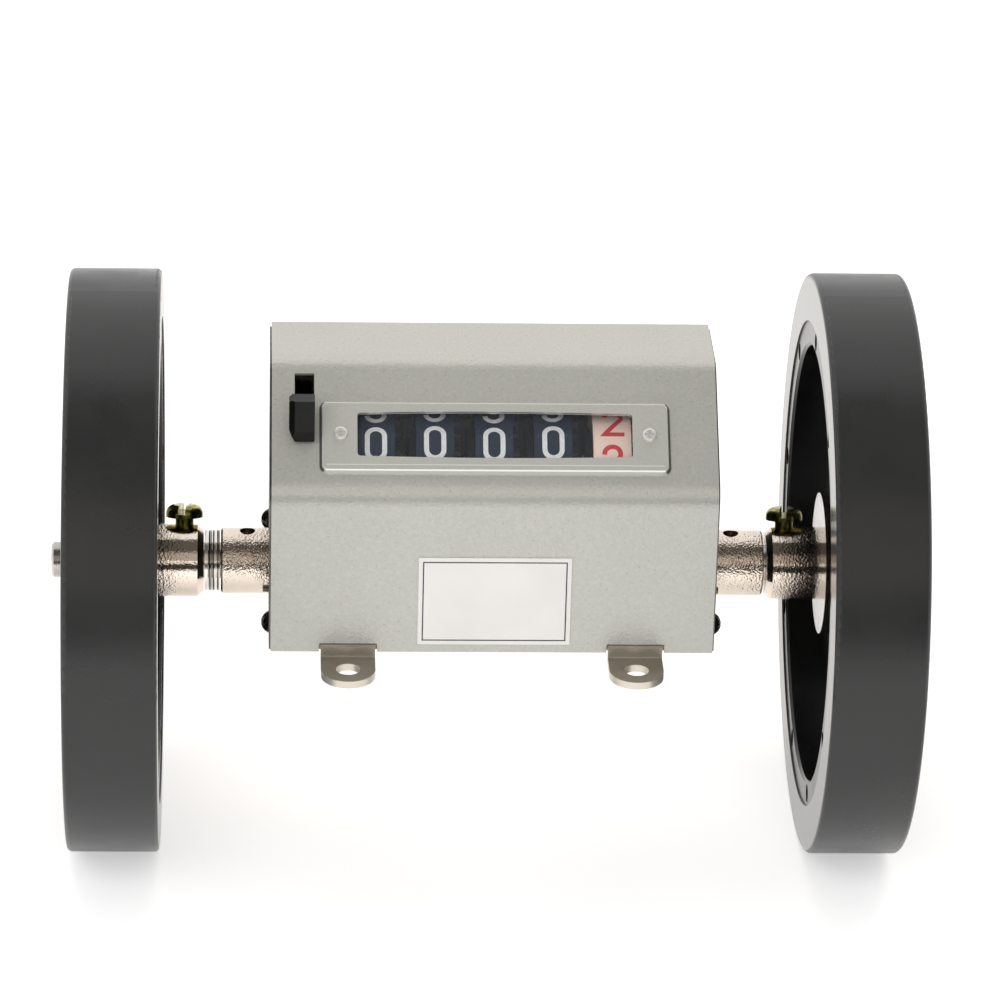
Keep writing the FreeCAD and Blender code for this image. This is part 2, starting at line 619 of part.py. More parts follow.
def wheel_x(side, depth):
    """The x of a place on a wheel, at a depth from its inner face, away from the casing."""
    hub_gap = LEFT_HUB_GAP if side < 0 else RIGHT_HUB_GAP
    face = boss_end(side) + side * (hub_gap + COLLAR_LENGTH - FLANGE_DEPTH)
    return face + side * depth


def axle_shaft():
    """The axle, through both wheels and the casing."""
    x0, x1 = wheel_x(-1, WHEEL_WIDTH + AXLE_END_PROUD), wheel_x(1, WHEEL_WIDTH + AXLE_END_PROUD)
    r, c = AXLE_R, AXLE_CHAMFER
    axle = revolve_x([(x0, 0), (x0, r - c), (x0 + c, r), (x1 - c, r), (x1, r - c), (x1, 0)], 0, AXLE_HEIGHT)
    return axle.cut(drive_pin_shape(SEAT_GAP))


def tooth_outline(teeth, module, phase, centre_y, centre_z):
    """A spur gear outline as (y, z) points, with one tooth centred on the phase angle in degrees."""
    pitch_r = module * teeth / 2
    step = 2 * math.pi / teeth
    radii = [pitch_r - DEDENDUM * module, pitch_r, pitch_r + ADDENDUM * module]
    shares = [TOOTH_ROOT_SHARE, TOOTH_SHARE, TOOTH_TIP_SHARE]
    flank = [(r, -share * step / 2 * pitch_r / r) for r, share in zip(radii, shares)]
    flank += [(r, -a) for r, a in reversed(flank)]
    points = []
    for i in range(teeth):
        middle = math.radians(phase) + i * step
        points += [
            (centre_y + r * math.cos(middle + a), centre_z + r * math.sin(middle + a)) for r, a in flank
        ]
    return points


def direction(y0, z0, y1, z1):
    """The direction from one (y, z) to another, in degrees from +Y towards +Z."""
    return math.degrees(math.atan2(z1 - z0, y1 - y0))


def drive_direction():
    """The direction from the axle to the number shaft."""
    return direction(0, AXLE_HEIGHT, NUMBER_SHAFT_Y, NUMBER_SHAFT_HEIGHT)


def drive_gear_x0():
    """The x where the drive gear's teeth begin."""
    return TENTHS_X + HALF_DRUM + DRIVE_GEAR_SETBACK


def drive_gear():
    """The small gear on the axle, with the hub that takes its pin."""
    x0 = drive_gear_x0()
    x1 = x0 + DRIVE_GEAR_WIDTH
    outline = tooth_outline(DRIVE_TEETH, MODULE_DRIVE, drive_direction(), 0, AXLE_HEIGHT)
    hub = cyl_x(DRIVE_HUB_D / 2, x1, x1 + DRIVE_HUB_LENGTH, 0, AXLE_HEIGHT)
    gear = fuse_all([prism_x(outline, x0, x1), hub])
    bore = cyl_x(AXLE_R + SEAT_GAP, x0 - PAST, x1 + DRIVE_HUB_LENGTH + PAST, 0, AXLE_HEIGHT)
    return cut_all(gear, [bore, drive_pin_shape(SEAT_GAP)])


def drive_pin_shape(gap):
    """The drive gear's pin, or the hole for it when there is a gap."""
    x = drive_gear_x0() + DRIVE_GEAR_WIDTH + DRIVE_HUB_LENGTH / 2
    return Part.makeCylinder(DRIVE_PIN_D / 2 + gap, DRIVE_HUB_D, V(x, 0, AXLE_HEIGHT - DRIVE_HUB_D / 2))


def drive_gear_pin():
    """The pin that locks the drive gear to the axle."""
    return drive_pin_shape(0)


def set_screw_axis():
    """The direction in which the set screws stand."""
    tilt = math.radians(SET_SCREW_TILT)
    return V(0, math.sin(tilt), math.cos(tilt))


def set_screw_x(side):
    """The x of a set screw."""
    return wheel_x(side, -SET_SCREW_FROM_WHEEL)


def wheel_hub(side):
    """A nickel hub: a collar on the axle, a flange against the rim and a sleeve through it."""
    flange = FLANGE_DEPTH
    end = flange - COLLAR_LENGTH
    collar, bore = COLLAR_D / 2, AXLE_R + SEAT_GAP
    outline = [
        (end, bore), (end, collar - COLLAR_CHAMFER_R), (end + COLLAR_CHAMFER_X, collar), (flange, collar),
        (flange, FLANGE_D / 2), (flange + FLANGE, FLANGE_D / 2), (flange + FLANGE, SLEEVE_D / 2),
        (flange + FLANGE + SLEEVE_LENGTH, SLEEVE_D / 2), (flange + FLANGE + SLEEVE_LENGTH, bore),
    ]
    hub = revolve_x([(wheel_x(side, depth), r) for depth, r in outline], 0, AXLE_HEIGHT)
    hole = Part.makeCylinder(
        SET_SCREW_SHANK_D / 2 + SEAT_GAP, COLLAR_D, V(set_screw_x(side), 0, AXLE_HEIGHT), set_screw_axis())
    return hub.cut(hole)


def wheel_rim(side):
    """A moulded rim: outer ring, web and boss, with a row of dimples on each side of the ring."""
    near, far = RIM_INSET, WHEEL_WIDTH - RIM_INSET
    tyre_in = WHEEL_D / 2 - TYRE_THICKNESS
    r_out, r_in = tyre_in - SEAT_GAP, tyre_in - RIM_RING
    web0, web1 = WEB_DEPTH, WEB_DEPTH + WEB
    boss0 = FLANGE_DEPTH + FLANGE
    boss1 = boss0 + SLEEVE_LENGTH
    boss_r, bore = FLANGE_D / 2, SLEEVE_D / 2 + SEAT_GAP
    outline = [
        (near, r_in + RIM_EDGE), (near, r_out), (far, r_out), (far, r_in + RIM_EDGE),
        (far - RIM_EDGE, r_in), (web1, r_in), (web1, boss_r), (boss1, boss_r), (boss1, bore),
        (boss0, bore), (boss0, boss_r), (web0, boss_r), (web0, r_in), (near + RIM_EDGE, r_in),
    ]
    rim = revolve_x([(wheel_x(side, depth), r) for depth, r in outline], 0, AXLE_HEIGHT)
    dimples = []
    for i in range(DIMPLE_COUNT):
        a = math.radians(DIMPLE_START + i * 360 / DIMPLE_COUNT)
        y = -(r_out + r_in) / 2 * math.sin(a)
        z = AXLE_HEIGHT + (r_out + r_in) / 2 * math.cos(a)
        for depth in (near, far):
            x0, x1 = sorted((wheel_x(side, depth - DIMPLE_DEPTH), wheel_x(side, depth + DIMPLE_DEPTH)))
            dimples.append(cyl_x(DIMPLE_D / 2, x0, x1, y, z))
    return cut_all(rim, dimples)


def wheel_tyre(side):
    """A rubber tyre with rounded outer edges."""
    x0, x1 = sorted((wheel_x(side, 0), wheel_x(side, WHEEL_WIDTH)))
    r = WHEEL_D / 2
    blank = cyl_x(r, x0, x1, 0, AXLE_HEIGHT)
    rims = [e for e in blank.Edges if e.BoundBox.XMax - e.BoundBox.XMin < SAME]
    blank = blank.makeFillet(TYRE_EDGE_RADIUS, rims)
    return blank.cut(cyl_x(r - TYRE_THICKNESS, x0 - PAST, x1 + PAST, 0, AXLE_HEIGHT))


def set_screw(side):
    """A slotted pan-head screw that stands in the hub's collar and bears on the axle."""
    r, head_r = SET_SCREW_SHANK_D / 2, SET_SCREW_HEAD_D / 2
    tip = AXLE_R + SEAT_GAP
    under = COLLAR_D / 2 + SET_SCREW_SHOWING
    top = under + SET_SCREW_HEAD
    shank = Part.makeCylinder(r, under - tip, V(0, 0, tip))
    head = Part.makeCylinder(head_r, SET_SCREW_HEAD, V(0, 0, under))
    head = head.makeFillet(SET_SCREW_DOME, [e for e in head.Edges if e.BoundBox.ZMin > top - SAME])
    half = SET_SCREW_SLOT / 2
    slot = box(-head_r, head_r, -half, half, top - SET_SCREW_SLOT_DEPTH, top + PAST)
    screw = fuse_all([shank, head]).cut(slot)
    screw.rotate(V(0, 0, 0), V(0, 0, 1), SET_SCREW_SLOT_TURN)
    screw.rotate(V(0, 0, 0), V(1, 0, 0), -SET_SCREW_TILT)
    screw.translate(V(set_screw_x(side), 0, AXLE_HEIGHT))
    return screw


def number_shaft():
    """The fixed shaft that carries the number wheels."""
    return cyl_x(NUMBER_SHAFT_R, -PLATE_OUT, PLATE_OUT, NUMBER_SHAFT_Y, NUMBER_SHAFT_HEIGHT)


def shaft_spacers():
    """The tubes that keep the number wheels in place along their shaft."""
    first, last = -TENTHS_X + HUB_LEFT, TENTHS_X + HUB_RIGHT
    spans = [(-PLATE_IN, first - SIDE_GAP), (last + SIDE_GAP, PLATE_IN)]
    r_in = NUMBER_SHAFT_R + SEAT_GAP
    tubes = [ring_x(r_in + SPACER_WALL, r_in, a, b, NUMBER_SHAFT_Y, NUMBER_SHAFT_HEIGHT) for a, b in spans]
    return Part.makeCompound(tubes)


def pinion_shaft():
    """The fixed shaft that carries the transfer pinions."""
    return cyl_x(PINION_SHAFT_D / 2, -PLATE_OUT, PLATE_OUT, PINION_Y, PINION_HEIGHT)


def drum_x(index):
    """The x of a number wheel's middle, from the thousands on the left."""
    return (index - 2) * NUMBER_PITCH


def number_drum(index):
    """A number wheel's drum, web and hub, with the reset cam on the hub's right end."""
    x, y, z = drum_x(index), NUMBER_SHAFT_Y, NUMBER_SHAFT_HEIGHT
    flat = z + RESET_CAM_FLAT
    cam = cyl_x(RESET_CAM_D / 2, x + HALF_DRUM + SIDE_DISC, x + HUB_RIGHT, y, z)
    cam = cam.cut(box(x, x + NUMBER_PITCH, y - RESET_CAM_D, y + RESET_CAM_D, flat, flat + RESET_CAM_D))
    pieces = [
        ring_x(DRUM_D / 2, DRUM_D / 2 - DRUM_RIM, x - HALF_DRUM, x + HALF_DRUM, y, z),
        cyl_x(DRUM_D / 2 - DRUM_RIM / 2, x - DRUM_WEB / 2, x + DRUM_WEB / 2, y, z),
        cyl_x(DRUM_HUB_D / 2, x + HUB_LEFT, x + HALF_DRUM + SIDE_DISC, y, z),
        cam,
    ]
    bore = cyl_x(NUMBER_SHAFT_R + RUNNING_GAP, x - NUMBER_PITCH, x + NUMBER_PITCH, y, z)
    return fuse_all(pieces).cut(bore)


def side_gear(index):
    """The gear on a drum's right side: the input gear on the tenths, a transfer gear on the others."""
    x0 = drum_x(index) + HALF_DRUM
    y, z = NUMBER_SHAFT_Y, NUMBER_SHAFT_HEIGHT
    if DIGIT_NAMES[index] == "tenths":
        phase = drive_direction() + 180 + 180 / INPUT_TEETH
        outline = tooth_outline(INPUT_TEETH, MODULE_DRIVE, phase, y, z)
    else:
        outline = tooth_outline(TRANSFER_TEETH, MODULE_TRANSFER, PINION_DIRECTION, y, z)
    gear = prism_x(outline, x0, x0 + SIDE_DISC)
    return gear.cut(cyl_x(DRUM_HUB_D / 2 + SEAT_GAP, x0 - PAST, x0 + SIDE_DISC + PAST, y, z))


def transfer_cam(index):
    """The disc on a drum's left side with the two teeth that carry to the next wheel."""
    x1 = drum_x(index) - HALF_DRUM
    y, z = NUMBER_SHAFT_Y, NUMBER_SHAFT_HEIGHT
    tip_r = PINION_CENTRES - PINION_TIP_R - CAM_TIP_GAP
    disc = cyl_x(tip_r - CAM_TOOTH_DEPTH, x1 - SIDE_DISC, x1, y, z)
    teeth = []
    for sign in (-1, 1):
        tooth = box(x1 - SIDE_DISC, x1, y + tip_r / 2, y + tip_r, z - CAM_TOOTH / 2, z + CAM_TOOTH / 2)
        tooth.rotate(V(0, y, z), V(1, 0, 0), PINION_DIRECTION + 90 + sign * CAM_TOOTH_ANGLE)
        teeth.append(tooth)
    cam = fuse_all([disc] + teeth)
    return cam.cut(cyl_x(DRUM_HUB_D / 2 + SEAT_GAP, x1 - SIDE_DISC - PAST, x1 + PAST, y, z))


def transfer_pinion(index):
    """The pinion between a number wheel and the next one to its left."""
    x0 = drum_x(index - 1) + HALF_DRUM + PINION_SIDE_GAP
    x1 = drum_x(index) - HALF_DRUM - PINION_SIDE_GAP
    phase = PINION_DIRECTION + 180 + 180 / PINION_TEETH
    outline = tooth_outline(PINION_TEETH, MODULE_TRANSFER, phase, PINION_Y, PINION_HEIGHT)
    bore = cyl_x(PINION_SHAFT_D / 2 + RUNNING_GAP, x0 - PAST, x1 + PAST, PINION_Y, PINION_HEIGHT)
    return prism_x(outline, x0, x1).cut(bore)


def reset_shaft():
    """The turning shaft behind the number wheels that joins the lever and the fingers."""
    return cyl_x(RESET_SHAFT_D / 2, -PLATE_OUT, PLATE_OUT, RESET_SHAFT_Y, RESET_SHAFT_HEIGHT)


def arm_frame():
    """The arm's start, its unit direction and its length to the knob, in (y, z)."""
    fy, fz = window_face_point(LEVER_FACE_V, 0)
    dy, dz = fy - RESET_SHAFT_Y, fz - RESET_SHAFT_HEIGHT
    reach = math.hypot(dy, dz)
    return (dy / reach, dz / reach), reach + LEVER_OUT


def reset_lever():
    """The lever's hub and the arm that comes out through the slot in the window face."""
    (uy, uz), reach = arm_frame()
    ny, nz = -uz, uy
    h = LEVER_ARM / 2
    corners = [(0, h), (reach, h), (reach, -h), (0, -h)]
    outline = [
        (RESET_SHAFT_Y + a * uy + b * ny, RESET_SHAFT_HEIGHT + a * uz + b * nz) for a, b in corners
    ]
    x0, x1 = LEVER_X - LEVER_WIDTH / 2, LEVER_X + LEVER_WIDTH / 2
    hub = cyl_x(LEVER_HUB_D / 2, x0, x1, RESET_SHAFT_Y, RESET_SHAFT_HEIGHT)
    lever = fuse_all([prism_x(outline, x0, x1), hub])
    bore = cyl_x(RESET_SHAFT_D / 2 + SEAT_GAP, x0 - PAST, x1 + PAST, RESET_SHAFT_Y, RESET_SHAFT_HEIGHT)
    return lever.cut(bore)


def reset_knob():
    """The upright finger pad on the end of the lever's arm."""
    (uy, uz), reach = arm_frame()
    y, z = RESET_SHAFT_Y + reach * uy, RESET_SHAFT_HEIGHT + reach * uz - KNOB_DROP
    front, back = y - KNOB_THICKNESS / 2, y + KNOB_THICKNESS / 2
    low, high = z - KNOB_HEIGHT / 2, z + KNOB_HEIGHT / 2
    left, right = KNOB_LEFT, KNOB_LEFT + KNOB_WIDTH
    outline = [
        (left, low + KNOB_CHIN), (left, high - KNOB_SHOULDER), (left + KNOB_SHOULDER, high), (right, high),
        (right, low), (left + KNOB_SIDE_BEVEL, low),
    ]
    wire = Part.makePolygon([V(x, front, h) for x, h in outline + outline[:1]])
    knob = Part.Face(wire).extrude(V(0, back - front, 0))
    bevel = Part.makePolygon([
        V(left, front, low), V(left + KNOB_SIDE_BEVEL, front, low), V(left, front + KNOB_SIDE_BEVEL, low),
        V(left, front, low)])
    bevel = Part.Face(bevel).extrude(V(0, 0, KNOB_HEIGHT))
    chin = prism_x([(front, low), (front, low + KNOB_CHIN), (front + KNOB_CHIN_DEPTH, low)], left, right)
    clear = on_window_face(box(left, right, 0, CASING_TOP, -KNOB_HEIGHT, KNOB_BACK_GAP))
    return cut_all(knob, [bevel, chin, clear, reset_lever()])


def finger_shape(x0):
    """One reset finger: a hub on the reset shaft and a bent blade that reaches to the reset cam."""
    y, z = RESET_SHAFT_Y, RESET_SHAFT_HEIGHT
    w = FINGER_WIDTH / 2
    tip_y, tip_z = NUMBER_SHAFT_Y + FINGER_TIP_OUT, NUMBER_SHAFT_HEIGHT - FINGER_TIP_DROP
    knee_z = tip_z + FINGER_KNEE_RISE
    blade = prism_x([
        (y - w, z), (y + w, z), (y + w, knee_z - w), (tip_y, tip_z - w / 2), (tip_y, tip_z + w / 2),
        (y - w, knee_z + w),
    ], x0, x0 + FINGER)
    hub = cyl_x(FINGER_HUB_D / 2, x0, x0 + FINGER_HUB_LENGTH, y, z)
    bore = cyl_x(RESET_SHAFT_D / 2 + SEAT_GAP, x0 - PAST, x0 + FINGER_HUB_LENGTH + PAST, y, z)
    return fuse_all([blade, hub]).cut(bore)


def reset_fingers():
    """Five fingers, one beside each number wheel's reset cam."""
    first = HALF_DRUM + SIDE_DISC + SIDE_GAP
    return Part.makeCompound([finger_shape(drum_x(i) + first) for i in range(len(DIGIT_NAMES))])


def reset_spring():
    """The coil spring round the reset shaft, beside the lever."""
    x0 = LEVER_X + LEVER_WIDTH / 2 + SIDE_GAP + SPRING_WIRE / 2
    helix = Part.makeHelix(SPRING_PITCH, SPRING_PITCH * SPRING_TURNS, SPRING_R)
    ring = Part.Wire(Part.makeCircle(SPRING_WIRE / 2, V(SPRING_R, 0, 0), V(0, 1, 0)))
    coil = helix.makePipeShell([ring], True, True)
    leg = Part.makeCylinder(
        SPRING_WIRE / 2, HALF_DEPTH - SHEET - SIDE_GAP - RESET_SHAFT_Y,
        V(SPRING_R, 0, SPRING_PITCH * SPRING_TURNS), V(0, 1, 0))
    spring = coil.fuse(leg)
    spring.rotate(V(0, 0, 0), V(0, 1, 0), 90)
    spring.translate(V(x0, RESET_SHAFT_Y, RESET_SHAFT_HEIGHT))
    return spring


def build():
    """Every node's name and shape."""
    nodes = {
        "casing_cover": casing_cover(),
        "base_plate": base_plate(),
        "window_bezel": window_bezel(),
        "window_lens": window_lens(),
        "bezel_screws": bezel_screws(),
        "side_plate_screws": side_plate_screws(),
        "plate_rivets": plate_rivets(),
        "label_plate": label_plate(),
        "frame_tie_rods": frame_tie_rods(),
        "thrust_washers": thrust_washers(),
        "axle_shaft": axle_shaft(),
        "drive_gear": drive_gear(),
        "drive_gear_pin": drive_gear_pin(),
        "number_shaft": number_shaft(),
        "shaft_spacers": shaft_spacers(),
        "pinion_shaft": pinion_shaft(),
        "reset_shaft": reset_shaft(),
        "reset_lever": reset_lever(),
        "reset_knob": reset_knob(),
        "reset_fingers": reset_fingers(),
        "reset_spring": reset_spring(),
    }
    for name, side in SIDES.items():
        nodes[name + "_side_plate"] = side_plate(side)
        nodes[name + "_bearing_boss"] = bearing_boss(side)
        nodes[name + "_bearing_bush"] = bearing_bush(side)
        nodes[name + "_hub"] = wheel_hub(side)
        nodes[name + "_rim"] = wheel_rim(side)
        nodes[name + "_tyre"] = wheel_tyre(side)
        nodes[name + "_set_screw"] = set_screw(side)
    for i, digit in enumerate(DIGIT_NAMES):
        nodes[digit + "_drum"] = number_drum(i)
        nodes[digit + "_gear"] = side_gear(i)
        if i > 0:
            nodes[digit + "_cam"] = transfer_cam(i)
            nodes[digit + "_pinion"] = transfer_pinion(i)
    return nodes


for node, shape in build().items():
    if not shape.isValid():
        print("not valid:", node)
    shape.exportStep("parts/" + node + ".step")
print("nodes written")
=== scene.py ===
import json
import math
import bpy
from mathutils import Matrix, Vector


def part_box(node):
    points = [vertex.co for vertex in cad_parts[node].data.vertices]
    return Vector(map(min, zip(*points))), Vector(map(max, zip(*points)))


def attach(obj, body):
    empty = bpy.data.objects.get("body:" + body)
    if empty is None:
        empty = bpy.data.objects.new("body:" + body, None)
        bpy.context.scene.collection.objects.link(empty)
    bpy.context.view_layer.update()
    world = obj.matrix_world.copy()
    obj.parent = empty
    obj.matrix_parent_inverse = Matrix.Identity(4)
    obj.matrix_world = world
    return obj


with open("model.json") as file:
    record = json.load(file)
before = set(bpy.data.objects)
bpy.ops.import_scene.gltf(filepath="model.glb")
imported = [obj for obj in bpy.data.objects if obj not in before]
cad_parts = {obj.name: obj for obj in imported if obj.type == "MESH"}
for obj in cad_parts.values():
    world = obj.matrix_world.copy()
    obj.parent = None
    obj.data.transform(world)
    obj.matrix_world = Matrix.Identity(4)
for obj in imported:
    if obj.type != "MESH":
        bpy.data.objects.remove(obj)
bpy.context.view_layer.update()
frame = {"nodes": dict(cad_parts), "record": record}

nodes = frame["nodes"]

MM = 0.001

# Places and sizes that the digits, the floor and the cards follow, in millimetres
AXLE_Z = 11.4
WHEEL_R = 53.05
FLOOR_Z = AXLE_Z - WHEEL_R      # the measuring wheels stand on the floor
SHAFT_REACH = 18.0              # from the axle to the number wheels' shaft
NUMBER_Y = -0.7
NUMBER_Z = AXLE_Z + math.sqrt(SHAFT_REACH ** 2 - NUMBER_Y ** 2)
DRUM_R = 12.7
DRUM_PITCH = 10.6
SHOWN_ANGLE = 40.0              # degrees from the top to the window, towards the reader


# ---- node and mesh helpers

def math_node(tree, op, *values):
    """The result of a math node that takes sockets and plain numbers."""
    n = tree.nodes.new("ShaderNodeMath")
    n.operation = op
    for i, v in enumerate(values):
        if isinstance(v, (int, float)):
            n.inputs[i].default_value = v
        else:
            tree.links.new(v, n.inputs[i])
    return n.outputs[0]


def mesh_object(name, verts, faces, mat):
    mesh = bpy.data.meshes.new(name)
    mesh.from_pydata(verts, [], faces)
    mesh.materials.append(mat)
    obj = bpy.data.objects.new(name, mesh)
    bpy.context.scene.collection.objects.link(obj)
    return obj


class Shader:
    """One node material, with short calls for the nodes that the surfaces here share."""

    def __init__(self, name, **sockets):
        self.mat = bpy.data.materials.new(name)
        self.mat.use_nodes = True
        self.tree = self.mat.node_tree
        self.bsdf = self.tree.nodes["Principled BSDF"]
        for key, value in sockets.items():
            self.bsdf.inputs[key.replace("_", " ")].default_value = value
        self.coords = self.tree.nodes.new("ShaderNodeTexCoord").outputs["Object"]
        self.normal = None

    def node(self, kind, **props):
        n = self.tree.nodes.new(kind)
        for key, value in props.items():
            setattr(n, key, value)
        return n

    def link(self, a, b):
        self.tree.links.new(a, b)

    def scaled(self, sx, sy, sz):
        n = self.node("ShaderNodeMapping")
        n.inputs["Scale"].default_value = (sx, sy, sz)
        self.link(self.coords, n.inputs["Vector"])
        return n.outputs["Vector"]

    def noise(self, scale, detail=3.0, rough=0.5, vector=None):
        """Noise of the given scale, in bumps per metre."""
        n = self.node("ShaderNodeTexNoise")
        n.inputs["Scale"].default_value = scale
        n.inputs["Detail"].default_value = detail
        n.inputs["Roughness"].default_value = rough
        self.link(vector or self.coords, n.inputs["Vector"])
        return n.outputs["Fac"]

    def ramp(self, fac, stops):
        """A colour ramp through stops of a position and either a colour or a grey."""
        n = self.node("ShaderNodeValToRGB")
        while len(n.color_ramp.elements) < len(stops):
            n.color_ramp.elements.new(0.5)
        for e, (pos, col) in zip(n.color_ramp.elements, stops):
            e.position = pos
            e.color = (*col, 1.0) if isinstance(col, tuple) else (col, col, col, 1.0)
        self.link(fac, n.inputs["Fac"])
        return n.outputs["Color"]

    def math(self, op, *values):
        return math_node(self.tree, op, *values)

    def mix(self, fac, a, b):
        n = self.node("ShaderNodeMix", data_type="RGBA")
        for sock, v in (("Factor", fac), ("A", a), ("B", b)):
            target = [s for s in n.inputs if s.name == sock and s.enabled][0]
            if isinstance(v, tuple):
                target.default_value = (*v, 1.0)
            elif isinstance(v, (int, float)):
                target.default_value = v
            else:
                self.link(v, target)
        return [s for s in n.outputs if s.enabled][0]

    def dot(self, source, way):
        n = self.node("ShaderNodeVectorMath", operation="DOT_PRODUCT")
        self.link(source, n.inputs[0])
        n.inputs[1].default_value = way
        return n.outputs["Value"]

    def along(self, way):
        """How far a point lies along a direction in the object's own axes, in metres."""
        return self.dot(self.coords, way)

    def facing(self, way):
        """How nearly the surface faces a direction in the object's own axes, from -1 to 1."""
        return self.dot(self.node("ShaderNodeTexCoord").outputs["Normal"], way)

    def sideways(self):
        """How nearly the surface faces along the axle, either way, from 0 to 1."""
        return self.math("ABSOLUTE", self.facing((1, 0, 0)))

    def colour(self, source):
        self.link(source, self.bsdf.inputs["Base Color"])

    def roughness(self, source):
        self.link(source, self.bsdf.inputs["Roughness"])

    def rough(self, fac, low, high):
        """Roughness that goes from low to high as fac goes from 0 to 1."""
        n = self.node("ShaderNodeMapRange")
        n.inputs["To Min"].default_value = low
        n.inputs["To Max"].default_value = high
        self.link(fac, n.inputs["Value"])
        self.roughness(n.outputs["Result"])

    def bump(self, height, depth):
        """Adds a bump of the given depth, in metres, on top of the bumps added before it."""
        n = self.node("ShaderNodeBump")
        n.inputs["Distance"].default_value = depth
        n.inputs["Strength"].default_value = 1.0
        self.link(height, n.inputs["Height"])
        if self.normal:
            self.link(self.normal, n.inputs["Normal"])
        self.normal = n.outputs["Normal"]
        self.link(self.normal, self.bsdf.inputs["Normal"])


# ---- materials

def hammer_paint():
    """Slightly metallic paint, with fine flecks and a faint hammered grain."""
    s = Shader("casing_paint", Metallic=0.33, IOR=1.5)
    broad = s.noise(45, 2)
    fleck = s.noise(1800, 2, 0.6)
    tone = s.ramp(broad, [(0.3, (0.496, 0.494, 0.450)), (0.7, (0.530, 0.528, 0.482))])
    glint = s.ramp(fleck, [
        (0.34, (0.460, 0.459, 0.420)),
        (0.52, (0.516, 0.514, 0.470)),
        (0.70, (0.630, 0.628, 0.582)),
    ])
    s.colour(s.mix(0.33, tone, glint))
    s.roughness(s.math("MULTIPLY_ADD", fleck, 0.08, 0.25))
    s.bump(s.noise(520, 2), 0.02 * MM)
    s.bump(s.noise(2200, 1), 0.05 * MM)
    return s.mat


def bezel_reach(way):
    """The least and the greatest reach of the bezel, in metres along the direction way."""
    reaches = [v.co.dot(Vector(way)) for v in nodes["window_bezel"].data.vertices]
    return min(reaches), max(reaches)


def bezel_paint():
    """Smoother paint than the casing's, with painted highlights near the crown and the foot of the
    bezel's step, painted shade on the step's ends, and a painted highlight line where the bezel has
    a ridge.
    """
    crown_highlight_depth = 0.22 * MM      # painted highlight on the step, from the crown down to here
    foot_highlight_depth = 0.71 * MM       # and painted highlight again below here
    ridge_highlight_rise = 1.55 * MM     # from the bezel's lower edge up to the painted highlight line of a ridge
    ridge_highlight_inset = 1.2 * MM     # from each end of the bezel to the end of that painted highlight line
    ridge_highlight_half = 0.10 * MM
    face = math.radians(SHOWN_ANGLE)
    out = (0, -math.sin(face), math.cos(face))
    up = (0, math.cos(face), math.sin(face))

    s = Shader("bezel_paint", Metallic=0.36, IOR=1.5)
    fleck = s.noise(2600, 2, 0.5)
    flat = s.ramp(fleck, [(0.3, (0.545, 0.545, 0.500)), (0.7, (0.595, 0.595, 0.548))])

    # The step's colour is painted light: mid grey, painted shade where it faces along the axle, and
    # a painted highlight near its crown and near its foot.
    step = s.math("LESS_THAN", s.facing(out), 0.96)
    side = s.math("GREATER_THAN", s.sideways(), 0.4)
    lift = s.math("SUBTRACT", s.along(out), bezel_reach(out)[1])
    highlight_near_crown = s.math("GREATER_THAN", lift, -crown_highlight_depth)
    highlight_near_foot = s.math("LESS_THAN", lift, -foot_highlight_depth)
    shade = s.mix(side, (0.44, 0.44, 0.41), (0.13, 0.13, 0.12))
    shade = s.mix(s.math("MAXIMUM", highlight_near_crown, highlight_near_foot), shade, (0.86, 0.86, 0.82))

    # A painted highlight line across the flat face, where the bezel has a ridge.
    left, right = bezel_reach((1, 0, 0))
    rise = s.math("SUBTRACT", s.along(up), bezel_reach(up)[0] + ridge_highlight_rise)
    offset = s.math("SUBTRACT", s.along((1, 0, 0)), (left + right) / 2)
    inside = s.math("LESS_THAN", s.math("ABSOLUTE", offset), (right - left) / 2 - ridge_highlight_inset)
    on_ridge_highlight = s.math("LESS_THAN", s.math("ABSOLUTE", rise), ridge_highlight_half)
    flat = s.mix(s.math("MULTIPLY", inside, on_ridge_highlight), flat, (0.80, 0.80, 0.76))

    s.colour(s.mix(step, flat, shade))
    plain = s.math("MULTIPLY_ADD", fleck, 0.08, 0.31)
    s.roughness(s.math("MULTIPLY_ADD", step, -0.17, plain))
    s.bump(s.noise(1400, 2), 0.012 * MM)
    return s.mat


def nickel(name, base, low, high, dent, side_shade=None):
    """Plated metal: fine turning lines, and a hammered skin as deep as dent, in metres.

    The last argument, where given, is painted shade: a darker colour on the faces that look along
    the axle.
    """
    s = Shader(name, Metallic=1.0, IOR=1.5)
    cloud = s.noise(260, 3)
    skin = s.ramp(cloud, [(0.3, base), (0.7, tuple(min(1.0, c * 1.08) for c in base))])
    if side_shade:
        # Painted shade: a darker colour on the faces that look along the axle.
        skin = s.mix(s.math("GREATER_THAN", s.sideways(), 0.9), skin, side_shade)
    s.colour(skin)
    s.rough(s.noise(900, 3), low, high)
    s.bump(s.noise(2500, 1), dent)
    s.bump(s.noise(1.0, 2, 0.5, s.scaled(9000, 700, 700)), 0.003 * MM)
    return s.mat


def steel(name, base, low, high, grain=(9000, 600, 600), metal=1.0):
    """Metal with a grain of the given scales, in lines per metre along x, y and z."""
    s = Shader(name, Metallic=metal)
    s.colour(s.ramp(s.noise(300, 3), [(0.3, tuple(c * 0.85 for c in base)), (0.7, base)]))
    s.rough(s.noise(1.0, 3, 0.6, s.scaled(*grain)), low, high)
    s.bump(s.noise(1.0, 2, 0.5, s.scaled(*grain)), 0.006 * MM)
    return s.mat


